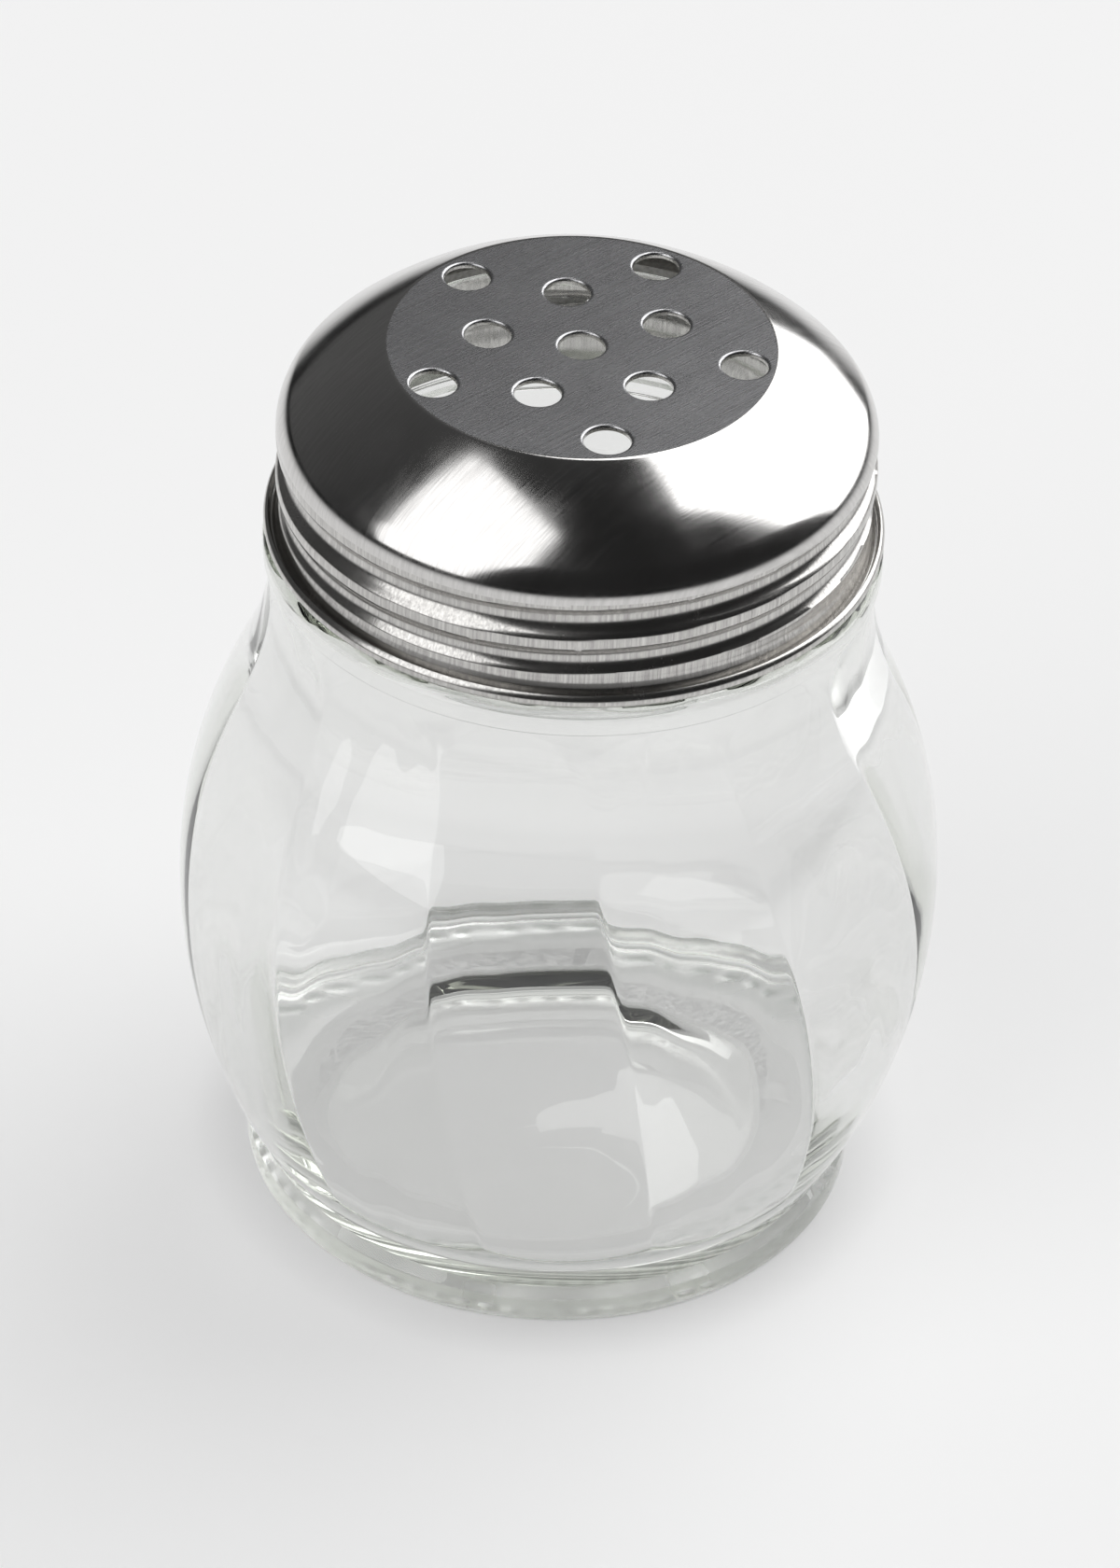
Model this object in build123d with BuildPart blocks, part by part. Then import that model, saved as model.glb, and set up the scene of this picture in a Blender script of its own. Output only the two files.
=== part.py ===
"""Parmesan shaker: a round glass jar with twisted panels inside and a perforated steel lid that screws on.

Millimetres, +Z up, with the origin at the centre of the foot, on the surface that the jar stands on.
"""

import math
import os

from build123d import *

# Jar: foot and belly
foot_radius = 28.7
foot_height = 2.7
foot_round = 0.5
foot_step_in = 0.7
foot_step_up = 1.1
bearing_width = 8.6
base_recess = 2.75
belly_radius = 35.2
belly_height = 31.4

# Jar: shoulder, and the glass ring below the lid
shoulder_height = 66.0
shoulder_stand = 0.45
shoulder_bulge = 0.61
shoulder_land = 1.6
ring_stand = 0.6
ring_height = 2.3
ring_round = 0.9
ring_lower_round = 0.3

# Jar: hollow and neck
side_wall = 2.3
base_thickness = 5.2
inner_corner = 9.0
neck_wall = 2.8
bore_depth = 14.0
rim_round = 0.6

# Jar: twisted panels on the hollow, which die out in the floor's corner and below the neck
panel_count = 12
panel_twist = 0.31
panel_edge_angle = -105.5
panel_edge_height = 27.3
panel_edge_inset = 0.1
panel_depth = 0.45
panel_shoulder_gap = 1.0
panel_fade = 8.0
panel_overrun = 2.0
panel_sections = 15

# Lid: pressed sheet
sheet = 0.5
skirt_radius = 26.85
skirt_height = 10.2
dome_height = 9.1
dome_corner = 4.6
dome_corner_turn = 46.0
disc_radius = 17.4
disc_edge_round = 1.2
curl_bend = 0.25
curl_slit = 0.62
lid_gap = 0.5

# Lid: one hole in the middle and two rings of holes, staggered
hole_diameter = 4.2
hole_round = 0.12
holes_per_ring = 5
hole_margin = 0.8
hole_ring_gap = 1.9
hole_angle = 28.2

# Screw thread, rolled into the skirt and moulded on the neck
thread_pitch = 4.233
thread_land = 1.55
thread_depth = 0.95
thread_clearance = 0.35
thread_low_rise = 2.9
thread_top_gap = 0.35
thread_rim_gap = 2.5
thread_angle = -205.0
thread_flank = 30.0
thread_sink = 0.15

# Liner ring between the glass rim and the dome
liner_thickness = 0.8
liner_inset = 0.2
liner_clearance = 0.15

# Heights and radii that follow from the sizes above
ring_base = shoulder_height + shoulder_land
ring_top = ring_base + ring_height
lid_base = ring_top + lid_gap
skirt_top = lid_base + skirt_height
lid_top = skirt_top + dome_height
shoulder_radius = skirt_radius + shoulder_stand
ring_radius = shoulder_radius + ring_stand
outer_hole_circle = disc_radius - hole_margin - hole_diameter / 2
inner_hole_circle = outer_hole_circle - hole_ring_gap - hole_diameter
skirt_inner = skirt_radius - sheet
groove_half = (thread_pitch - thread_land) / 2
groove_bend = (groove_half**2 + thread_depth**2) / (2 * thread_depth)
groove_centre = skirt_radius - thread_depth + groove_bend
ridge_bend = groove_bend + sheet
neck_radius = groove_centre - ridge_bend - thread_clearance
glass_crest = skirt_inner - thread_clearance
ridge_half = math.sqrt(ridge_bend**2 - (groove_centre - glass_crest) ** 2)
glass_crest_half = thread_pitch / 2 - ridge_half - thread_clearance
glass_root_half = glass_crest_half + (glass_crest - neck_radius) * math.tan(math.radians(thread_flank))
bore_radius = neck_radius - neck_wall
liner_outer = neck_radius - rim_round
liner_inner = bore_radius + liner_inset

# The liner's outer edge lies just under the inside of the dome's corner, and the rim under the liner
corner_centre = skirt_radius - dome_corner
seat_rise = math.sqrt((dome_corner - sheet) ** 2 - (liner_outer - corner_centre) ** 2)
rim_top = skirt_top + seat_rise - liner_clearance - liner_thickness

# Both threads lie on one helix, with the neck's turns midway between the lid's
lid_thread_low = lid_base + thread_low_rise
lid_thread_turns = (skirt_top - thread_top_gap - lid_thread_low) / thread_pitch
neck_thread_low = lid_thread_low + thread_pitch / 2
neck_thread_turns = (rim_top - thread_rim_gap - neck_thread_low) / thread_pitch

# The lid's lower edge curls outwards until it is a slit away from the skirt
curl_outer = curl_bend + sheet
curl_centre = lid_base + curl_outer
curl_turn = 180 + math.degrees(math.acos((curl_slit - curl_bend) / curl_outer))

# Slope at which the crown meets the flat disc, and the disc's edge inside the sheet
corner_slope = math.radians(90 - dome_corner_turn)
crown_low_radius = corner_centre + dome_corner * math.sin(corner_slope)
crown_low_height = skirt_top + dome_corner * math.cos(corner_slope)
crown_slope = 2 * math.atan2(lid_top - crown_low_height, crown_low_radius - disc_radius) - corner_slope
disc_inner = disc_radius - sheet * math.tan(crown_slope / 2)

# Body curve: one arc from the foot to the belly, then two tangent arcs up to the neck
body_low_radius = foot_radius - foot_step_in
body_low_height = foot_height + foot_step_up
low_span = belly_height - body_low_height
low_bend = ((belly_radius - body_low_radius) ** 2 + low_span**2) / (2 * (belly_radius - body_low_radius))


def ogee(inset, rise):
    """Shoulder curve: two tangent arcs that start and end upright, bulging out and then turning in.

    Args:
        inset: how far the curve comes in.
        rise: how far it goes up.

    Returns:
        The turn of each arc in degrees, and the radii of the first and the second arc.
    """
    turn = 2 * math.atan2(inset, rise)
    both_bends = rise / math.sin(turn)
    return math.degrees(turn), shoulder_bulge * both_bends, (1 - shoulder_bulge) * both_bends


shoulder_turn, belly_bend, shoulder_bend = ogee(belly_radius - shoulder_radius, shoulder_height - belly_height)
low_turn = math.degrees(math.asin(low_span / low_bend))

# Hollow: the same curves, a wall further in
inner_belly = belly_radius - side_wall
inner_low_bend = low_bend - side_wall
bore_base = rim_top - bore_depth
inner_turn, inner_bend, inner_shoulder_bend = ogee(inner_belly - bore_radius, bore_base - belly_height)
floor_turn = math.degrees(math.asin((belly_height - base_thickness) / inner_low_bend))
panel_bottom = base_thickness - panel_overrun
panel_high = shoulder_height - panel_shoulder_gap
panel_top = panel_high + panel_overrun


def hollow_radius(height):
    """Radius of the round hollow at a height, before its panels stand in.

    Args:
        height: height above the foot.

    Returns:
        The radius there.
    """
    turning = belly_height + inner_bend * math.sin(math.radians(inner_turn))
    if height < belly_height:
        return inner_belly - inner_low_bend + math.sqrt(inner_low_bend**2 - (belly_height - height) ** 2)
    if height < turning:
        return inner_belly - inner_bend + math.sqrt(inner_bend**2 - (height - belly_height) ** 2)
    left = max(bore_base - height, 0)
    return bore_radius + inner_shoulder_bend - math.sqrt(inner_shoulder_bend**2 - left**2)


def panel_radius(height):
    """Distance from the axis to a panel's edges at a height.

    Args:
        height: height above the foot.

    Returns:
        The distance, which passes the round hollow's radius where the panels die out below the neck.
    """
    into_fade = max(height - panel_high + panel_fade, 0)
    return hollow_radius(height) - panel_edge_inset + (panel_edge_inset + panel_depth) * (into_fade / panel_fade) ** 2


def polar(radius, angle):
    """Point at a radius and an angle in degrees.

    Args:
        radius: distance from the axis.
        angle: angle from X.

    Returns:
        The point's X and Y.
    """
    return radius * math.cos(math.radians(angle)), radius * math.sin(math.radians(angle))


def thread_plane(low, turns):
    """Section plane on the axis, some turns up a thread.

    Args:
        low: height of the thread's lower end.
        turns: number of turns up from that end.

    Returns:
        A plane whose X points outwards, Y down and Z along the thread.
    """
    angle = math.radians(thread_angle + 360 * turns)
    outwards = (math.cos(angle), math.sin(angle), 0)
    forwards = (-math.sin(angle), math.cos(angle), 0)
    return Plane((0, 0, low + thread_pitch * turns), outwards, forwards)


def thread_helix(low, turns, radius):
    """Helix along which a thread's section is swept.

    Args:
        low: height of the thread's lower end.
        turns: number of turns.
        radius: radius of the helix.

    Returns:
        The helix, turned to where the threads start.
    """
    helix = Helix(thread_pitch, thread_pitch * turns, radius, center=(0, 0, low), mode=Mode.PRIVATE)
    return helix.rotate(Axis.Z, thread_angle)


# Ring of glass whose inside is the twelve twisted panels, each a shallow arc across
panel_span = 360 / panel_count
with BuildPart() as panel_ring:
    with BuildSketch(Plane.XY.offset(panel_bottom)):
        Circle(belly_radius)
    extrude(amount=panel_top - panel_bottom)
    for section in range(panel_sections):
        height = panel_bottom + (panel_top - panel_bottom) * section / (panel_sections - 1)
        first_edge = panel_edge_angle - panel_twist * (height - panel_edge_height)
        edge_radius = panel_radius(height)
        with BuildSketch(Plane.XY.offset(height)):
            with BuildLine():
                for panel in range(panel_count):
                    edge_angle = first_edge + panel * panel_span
                    ThreePointArc(
                        polar(edge_radius, edge_angle),
                        polar(edge_radius - panel_depth, edge_angle + panel_span / 2),
                        polar(edge_radius, edge_angle + panel_span),
                    )
            make_face()
    loft(mode=Mode.SUBTRACT)

# Hollow of the jar
with BuildPart() as hollow:
    with BuildSketch(Plane.XZ) as hollow_outline:
        with BuildLine():
            inside = JernArc((inner_belly, belly_height), (0, 1), inner_bend, inner_turn)
            JernArc(inside @ 1, inside % 1, inner_shoulder_bend, -inner_turn)
            floor = JernArc((inner_belly, belly_height), (0, -1), inner_low_bend, -floor_turn)
            Polyline(
                floor @ 1,
                (0, base_thickness),
                (0, rim_top + panel_overrun),
                (bore_radius, rim_top + panel_overrun),
                (bore_radius, bore_base),
            )
        make_face()
        fillet(hollow_outline.vertices().sort_by_distance(floor @ 1)[0], inner_corner)
    revolve(axis=Axis.Z)
    add(panel_ring.part, mode=Mode.SUBTRACT)

with BuildPart() as glass_jar:
    with BuildSketch(Plane.XZ) as outline:
        with BuildLine():
            TangentArc((0, base_recess), (foot_radius - bearing_width, 0), tangent=(1, 0))
            Polyline(
                (foot_radius - bearing_width, 0),
                (foot_radius, 0),
                (foot_radius, foot_height),
                (body_low_radius, body_low_height),
            )
            JernArc((belly_radius, belly_height), (0, -1), low_bend, -low_turn)
            belly = JernArc((belly_radius, belly_height), (0, 1), belly_bend, shoulder_turn)
            JernArc(belly @ 1, belly % 1, shoulder_bend, -shoulder_turn)
            Polyline(
                (shoulder_radius, shoulder_height),
                (shoulder_radius, ring_base),
                (ring_radius, ring_base),
                (ring_radius, ring_top),
                (neck_radius, ring_top),
                (neck_radius, rim_top),
                (0, rim_top),
                (0, base_recess),
            )
        make_face()
        rounded_corners = [
            ((foot_radius, 0), foot_round),
            ((foot_radius, foot_height), foot_round),
            ((ring_radius, ring_base), ring_lower_round),
            ((ring_radius, ring_top), ring_round),
            ((neck_radius, rim_top), rim_round),
        ]
        for corner, radius in rounded_corners:
            fillet(outline.vertices().sort_by_distance(corner)[0], radius)
    revolve(axis=Axis.Z)
    add(hollow.part, mode=Mode.SUBTRACT)
    rim_circles = glass_jar.edges().filter_by(GeomType.CIRCLE).group_by(Axis.Z)[-1]
    fillet(rim_circles.sort_by(SortBy.RADIUS)[0], rim_round)
    with BuildSketch(thread_plane(neck_thread_low, 0)):
        Polygon(
            (neck_radius - thread_sink, -glass_root_half),
            (glass_crest, -glass_crest_half),
            (glass_crest, glass_crest_half),
            (neck_radius - thread_sink, glass_root_half),
            align=None,
        )
    sweep(path=thread_helix(neck_thread_low, neck_thread_turns, neck_radius), is_frenet=True)
glass_jar.part.label = "glass_jar"

# Lid
with BuildPart() as perforated_lid:
    with BuildSketch(Plane.XZ):
        with BuildLine():
            outside = JernArc((skirt_radius, skirt_top), (0, 1), dome_corner, dome_corner_turn)
            TangentArc(outside @ 1, (disc_radius, lid_top), tangent=outside % 1)
            inside = JernArc((skirt_inner, skirt_top), (0, 1), dome_corner - sheet, dome_corner_turn)
            TangentArc(inside @ 1, (disc_inner, lid_top - sheet), tangent=inside % 1)
            Polyline((disc_radius, lid_top), (0, lid_top), (0, lid_top - sheet), (disc_inner, lid_top - sheet))
            Line((skirt_radius, skirt_top), (skirt_radius, curl_centre))
            Line((skirt_inner, skirt_top), (skirt_inner, curl_centre))
            curl_inside = JernArc((skirt_radius, curl_centre), (0, -1), curl_bend, curl_turn)
            curl_outside = JernArc((skirt_inner, curl_centre), (0, -1), curl_outer, curl_turn)
            Line(curl_inside @ 1, curl_outside @ 1)
        make_face()
    revolve(axis=Axis.Z)
    top_circles = perforated_lid.edges().filter_by(GeomType.CIRCLE).group_by(Axis.Z)[-1]
    fillet(top_circles, disc_edge_round)
    with BuildSketch(Plane.XY.offset(lid_top)):
        Circle(hole_diameter / 2)
        with PolarLocations(inner_hole_circle, holes_per_ring, hole_angle):
            Circle(hole_diameter / 2)
        with PolarLocations(outer_hole_circle, holes_per_ring, hole_angle - 180 / holes_per_ring):
            Circle(hole_diameter / 2)
    extrude(amount=-2 * sheet, mode=Mode.SUBTRACT)
    top_circles = perforated_lid.edges().filter_by(GeomType.CIRCLE).group_by(Axis.Z)[-1]
    fillet(top_circles.filter_by(lambda edge: edge.radius < hole_diameter), hole_round)
    # The rolled thread is a ridge inside and a groove outside, each with round ends
    thread_sides = [
        (ridge_bend, skirt_inner + thread_sink, Mode.ADD),
        (groove_bend, skirt_radius + thread_sink, Mode.SUBTRACT),
    ]
    for bend, base, mode in thread_sides:
        crest = groove_centre - bend
        half_turn = math.acos((groove_centre - base) / bend)
        half = bend * math.sin(half_turn)
        with BuildSketch(thread_plane(lid_thread_low, 0)):
            with BuildLine():
                ThreePointArc((base, -half), (crest, 0), (base, half))
                Line((base, half), (base, -half))
            make_face()
        sweep(path=thread_helix(lid_thread_low, lid_thread_turns, skirt_radius), is_frenet=True, mode=mode)
        for turns, way in ((0, -1), (lid_thread_turns, 1)):
            section = thread_plane(lid_thread_low, turns)
            with BuildSketch(section):
                with BuildLine():
                    CenterArc((groove_centre, 0), bend, 180, -math.degrees(half_turn))
                    Polyline((base, half), (base, 0), (crest, 0))
                make_face()
            revolve(axis=Axis(section.origin, section.x_dir * way), revolution_arc=180, mode=mode)
perforated_lid.part.label = "perforated_lid"

# Liner ring
with BuildPart() as rim_liner:
    with BuildSketch(Plane.XY.offset(rim_top)):
        Circle(liner_outer)
        Circle(liner_inner, mode=Mode.SUBTRACT)
    extrude(amount=liner_thickness)
rim_liner.part.label = "rim_liner"

os.makedirs("parts", exist_ok=True)
export_step(glass_jar.part, "parts/glass_jar.step")
export_step(perforated_lid.part, "parts/perforated_lid.step")
export_step(rim_liner.part, "parts/rim_liner.step")
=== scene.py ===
"""Looks of a cheese shaker: a glass jar with twisted panels under a perforated steel lid.

Metres, +Z up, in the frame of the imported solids. The classes hold their sizes in millimetres, and a size
becomes metres where it meets a mesh or a node.
"""

import logging
import math
from collections.abc import Callable, Sequence
from dataclasses import dataclass, field
from enum import Enum

import bpy
import numpy as np
from mathutils import Matrix, Vector


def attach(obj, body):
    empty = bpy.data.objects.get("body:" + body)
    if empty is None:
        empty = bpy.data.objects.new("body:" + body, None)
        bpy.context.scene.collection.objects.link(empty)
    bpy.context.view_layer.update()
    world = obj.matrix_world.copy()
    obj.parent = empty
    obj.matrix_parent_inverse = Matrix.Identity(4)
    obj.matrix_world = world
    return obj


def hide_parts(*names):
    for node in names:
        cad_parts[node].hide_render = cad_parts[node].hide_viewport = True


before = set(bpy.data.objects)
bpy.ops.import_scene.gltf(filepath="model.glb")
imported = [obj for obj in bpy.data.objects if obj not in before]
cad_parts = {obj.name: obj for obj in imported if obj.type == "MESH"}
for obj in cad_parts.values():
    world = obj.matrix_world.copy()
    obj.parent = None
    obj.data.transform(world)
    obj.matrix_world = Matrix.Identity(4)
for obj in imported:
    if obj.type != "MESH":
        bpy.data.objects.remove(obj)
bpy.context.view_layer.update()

LOG = logging.getLogger("cheese_shaker")
MM = 0.001
WELD = 1e-6
NEAR = 0.01
Point = tuple[float, float]
Colour = tuple[float, float, float, float]
Wave = tuple[float, int, float, float]


class Body(Enum):
    """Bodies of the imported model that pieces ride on."""

    JAR = "jar"
    LID = "lid"


class Slot(Enum):
    """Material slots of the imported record."""

    GLASS = "clear_glass"
    STEEL = "stainless_steel"


class Zone(Enum):
    """Finishes of the pressed lid, in the order of its material slots."""

    DOME = 0
    TOP = 1
    SKIRT = 2


def grey(level: float) -> Colour:
    """Opaque grey of one linear level."""
    return (level, level, level, 1.0)


def run(start: Point, end: Point, steps: int) -> list[Point]:
    """Points along a straight line.

    Args:
        start: where the line starts; this point is left out.
        end: where it ends.
        steps: number of points.

    Returns:
        The points in order.
    """
    shares = [step / steps for step in range(1, steps + 1)]
    return [(start[0] + (end[0] - start[0]) * s, start[1] + (end[1] - start[1]) * s) for s in shares]


def arc(centre: Point, radius: float, start: float, end: float, steps: int) -> list[Point]:
    """Points along an arc.

    Args:
        centre: centre of the arc.
        radius: its radius.
        start: angle in degrees of its start, whose point is left out.
        end: angle in degrees of its end.
        steps: number of points.

    Returns:
        The points in order.
    """
    angles = [math.radians(start + (end - start) * step / steps) for step in range(1, steps + 1)]
    return [(centre[0] + radius * math.cos(a), centre[1] + radius * math.sin(a)) for a in angles]


def ramp(value: np.ndarray, low: float, high: float) -> np.ndarray:
    """Smooth step from 0 at low to 1 at high.

    Args:
        value: where the step is read.
        low: value at which it starts.
        high: value at which it ends, which may lie below low.

    Returns:
        The step at each value.
    """
    share = np.clip((value - low) / (high - low), 0.0, 1.0)
    return share * share * (3.0 - 2.0 * share)


def soft_least(blend: float, *choices: np.ndarray) -> np.ndarray:
    """Least of several arrays, with the crossings rounded.

    Args:
        blend: size of the rounding.
        choices: arrays of one shape.

    Returns:
        The rounded least.
    """
    least = np.minimum.reduce(choices)
    return least - blend * np.log(sum(np.exp((least - choice) / blend) for choice in choices))


def set_mode(mode: str) -> None:
    """Puts the active object into a mode, where it isn't in it yet."""
    if bpy.context.object is not None and bpy.context.object.mode != mode:
        bpy.ops.object.mode_set(mode=mode)


def clear_selection() -> None:
    """Leaves edit mode and deselects every object."""
    set_mode("OBJECT")
    bpy.ops.object.select_all(action="DESELECT")


def activate(piece: bpy.types.Object) -> None:
    """Makes one piece the only selected and the active object.

    Args:
        piece: the piece to act on.
    """
    clear_selection()
    piece.select_set(True)
    bpy.context.view_layer.objects.active = piece


def weld_and_face_out() -> None:
    """Merges doubled vertices of the mesh in edit mode and turns its faces outwards."""
    bpy.ops.mesh.select_all(action="SELECT")
    bpy.ops.mesh.remove_doubles(threshold=WELD)
    bpy.ops.mesh.normals_make_consistent(inside=False)


def turn_outline(name: str, outline: Sequence[Point], columns: int) -> bpy.types.Object:
    """Turns an outline round the upright axis, as on a lathe.

    Args:
        name: name of the new piece.
        outline: points of radius and height in millimetres.
        columns: number of steps round the axis.

    Returns:
        The turned piece, at the origin.
    """
    clear_selection()
    bpy.ops.mesh.primitive_plane_add(size=MM)
    piece = bpy.context.object
    piece.name = piece.data.name = name
    set_mode("EDIT")
    bpy.ops.mesh.select_mode(type="VERT")
    bpy.ops.mesh.select_all(action="SELECT")
    bpy.ops.mesh.merge(type="CENTER")
    bpy.ops.transform.translate(value=(outline[0][0] * MM, 0, outline[0][1] * MM))
    for last, point in zip(outline, outline[1:]):
        step = ((point[0] - last[0]) * MM, 0, (point[1] - last[1]) * MM)
        bpy.ops.mesh.extrude_vertices_move(TRANSFORM_OT_translate={"value": step})
    set_mode("OBJECT")
    lathe = piece.modifiers.new("lathe", "SCREW")
    lathe.steps = lathe.render_steps = columns
    lathe.use_merge_vertices = True
    lathe.merge_threshold = WELD
    bpy.ops.object.modifier_apply(modifier=lathe.name)
    set_mode("EDIT")
    weld_and_face_out()
    set_mode("OBJECT")
    return piece


def read_points(piece: bpy.types.Object) -> np.ndarray:
    """Reads the places of a piece's vertices.

    Args:
        piece: the piece to read.

    Returns:
        The places in millimetres, one row each.
    """
    places = np.empty(len(piece.data.vertices) * 3, dtype=np.float32)
    piece.data.vertices.foreach_get("co", places)
    return places.reshape(-1, 3).astype(float) / MM


def add_waves(turn: np.ndarray, height: np.ndarray, waves: Sequence[Wave]) -> np.ndarray:
    """Adds up waves that run round and up a piece.

    Args:
        turn: angle of each point in radians.
        height: its height.
        waves: the waves.

    Returns:
        Their sum at each point.
    """
    return sum(size * np.sin(count * turn + lean * height + start) for size, count, lean, start in waves)


def move_points(piece: bpy.types.Object, rule: Callable[[np.ndarray], np.ndarray]) -> None:
    """Moves every vertex of a piece by a rule.

    Args:
        piece: the piece to shape.
        rule: takes rows of places in millimetres and gives the new ones.
    """
    places = rule(read_points(piece)) * MM
    piece.data.vertices.foreach_set("co", places.astype(np.float32).ravel())
    piece.data.update()


class NodeBoard:
    """Nodes of one material or world, added with their inputs in one call."""

    def __init__(self, owner: bpy.types.ID) -> None:
        """Clears the owner's node tree.

        Args:
            owner: the material or world.
        """
        owner.use_nodes = True
        self.tree = owner.node_tree
        self.tree.nodes.clear()

    def add(self, kind: str, inputs: dict[str | int, object] | None = None, **settings: object) -> bpy.types.Node:
        """Adds one node.

        Args:
            kind: the node's type.
            inputs: values for its sockets, or sockets of other nodes to link to them.
            settings: properties of the node.

        Returns:
            The new node.
        """
        node = self.tree.nodes.new(kind)
        for name, value in settings.items():
            setattr(node, name, value)
        for name, value in (inputs or {}).items():
            if isinstance(value, bpy.types.NodeSocket):
                self.tree.links.new(value, node.inputs[name])
            else:
                node.inputs[name].default_value = value
        return node

    def place(self, scale: Sequence[float], turn: float = 0.0) -> bpy.types.NodeSocket:
        """Object coordinates, turned about the upright axis and then stretched.

        Args:
            scale: pattern cells for each metre along X, Y and Z.
            turn: degrees by which the pattern's X lies away from the object's X.

        Returns:
            The vector socket.
        """
        spot = self.add("ShaderNodeTexCoord").outputs["Object"]
        if turn:
            turned = self.add("ShaderNodeMapping", {"Vector": spot, "Rotation": (0, 0, math.radians(-turn))})
            spot = turned.outputs["Vector"]
        stretched = self.add("ShaderNodeMapping", {"Vector": spot, "Scale": tuple(scale)})
        return stretched.outputs["Vector"]

    def noise(self, vector: bpy.types.NodeSocket, detail: float = 2.0, rough: float = 0.5) -> bpy.types.NodeSocket:
        """Noise over a placed vector.

        Args:
            vector: the stretched coordinates.
            detail: number of finer layers.
            rough: weight of the finer layers.

        Returns:
            The noise, about 0.5 in the mean.
        """
        inputs = {"Vector": vector, "Scale": 1.0, "Detail": detail, "Roughness": rough}
        return self.add("ShaderNodeTexNoise", inputs).outputs["Fac"]

    def spread(self, value: bpy.types.NodeSocket, low: Point, high: Point) -> bpy.types.NodeSocket:
        """Maps a range of values onto another, clamped.

        Args:
            value: the socket to map.
            low: a value, and what it becomes.
            high: another value, and what it becomes.

        Returns:
            The mapped socket.
        """
        inputs = {"Value": value, "From Min": low[0], "From Max": high[0], "To Min": low[1], "To Max": high[1]}
        return self.add("ShaderNodeMapRange", inputs).outputs["Result"]

    def math(self, operation: str, *values: object) -> bpy.types.NodeSocket:
        """One sum on sockets and numbers.

        Args:
            operation: name of the operation.
            values: sockets or numbers.

        Returns:
            The result.
        """
        node = self.add("ShaderNodeMath", dict(enumerate(values)), operation=operation)
        return node.outputs["Value"]

    def tint(self, share: bpy.types.NodeSocket, dark: Colour, pale: Colour) -> bpy.types.NodeSocket:
        """Mixes two colours.

        Args:
            share: 0 for the dark colour, 1 for the pale one.
            dark: first colour.
            pale: second colour.

        Returns:
            The colour socket.
        """
        inputs = {"Factor": share, 6: dark, 7: pale}
        return self.add("ShaderNodeMix", inputs, data_type="RGBA").outputs[2]


@dataclass(frozen=True)
class GlassFinish:
    """Clear moulded glass with a faint green depth."""

    name: str = "clear_glass"
    colour: Colour = (1.0, 1.0, 1.0, 1.0)
    bend: float = 1.5
    depth_colour: Colour = (0.73, 0.76, 0.69, 1.0)
    depth_density: float = 24.0
    wave_cells: float = 70.0
    wave_height: float = 0.03
    wave_strength: float = 0.15
    foot_frost: float = 0.35
    frost_fade: Point = (0.1, 0.3)
    # Painted shade: stipple_and_shade_colour darkens the foot's bearing ring and its dots where the attribute marks
    # them.
    stipple_and_shade_colour: Colour = (0.36, 0.40, 0.37, 1.0)
    stipple_and_shade: str = "stipple_and_shade"

    def make(self) -> bpy.types.Material:
        """Builds the finish.

        Returns:
            The material.
        """
        material = bpy.data.materials.new(self.name)
        board = NodeBoard(material)
        wave = board.noise(board.place((self.wave_cells,) * 3), detail=1.0)
        bump = board.add(
            "ShaderNodeBump",
            {"Height": wave, "Strength": self.wave_strength, "Distance": self.wave_height * MM},
        )
        height = board.add("ShaderNodeSeparateXYZ", {"Vector": board.place((1 / MM,) * 3)}).outputs["Z"]
        frost = board.spread(height, (self.frost_fade[0], self.foot_frost), (self.frost_fade[1], 0.0))
        # Base colour darkened where marked: painted shade on the bearing ring, and on the dots partly their stippled
        # look and partly painted shade.
        stipple_and_shade = board.add("ShaderNodeAttribute", attribute_name=self.stipple_and_shade).outputs["Fac"]
        glass = board.add(
            "ShaderNodeBsdfPrincipled",
            {
                "Base Color": board.tint(stipple_and_shade, self.colour, self.stipple_and_shade_colour),
                "Roughness": frost,
                "IOR": self.bend,
                "Transmission Weight": 1.0,
                "Normal": bump.outputs["Normal"],
            },
        )
        depth = board.add("ShaderNodeVolumeAbsorption", {"Color": self.depth_colour, "Density": self.depth_density})
        board.add(
            "ShaderNodeOutputMaterial",
            {"Surface": glass.outputs["BSDF"], "Volume": depth.outputs["Volume"]},
        )
        return material


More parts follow.
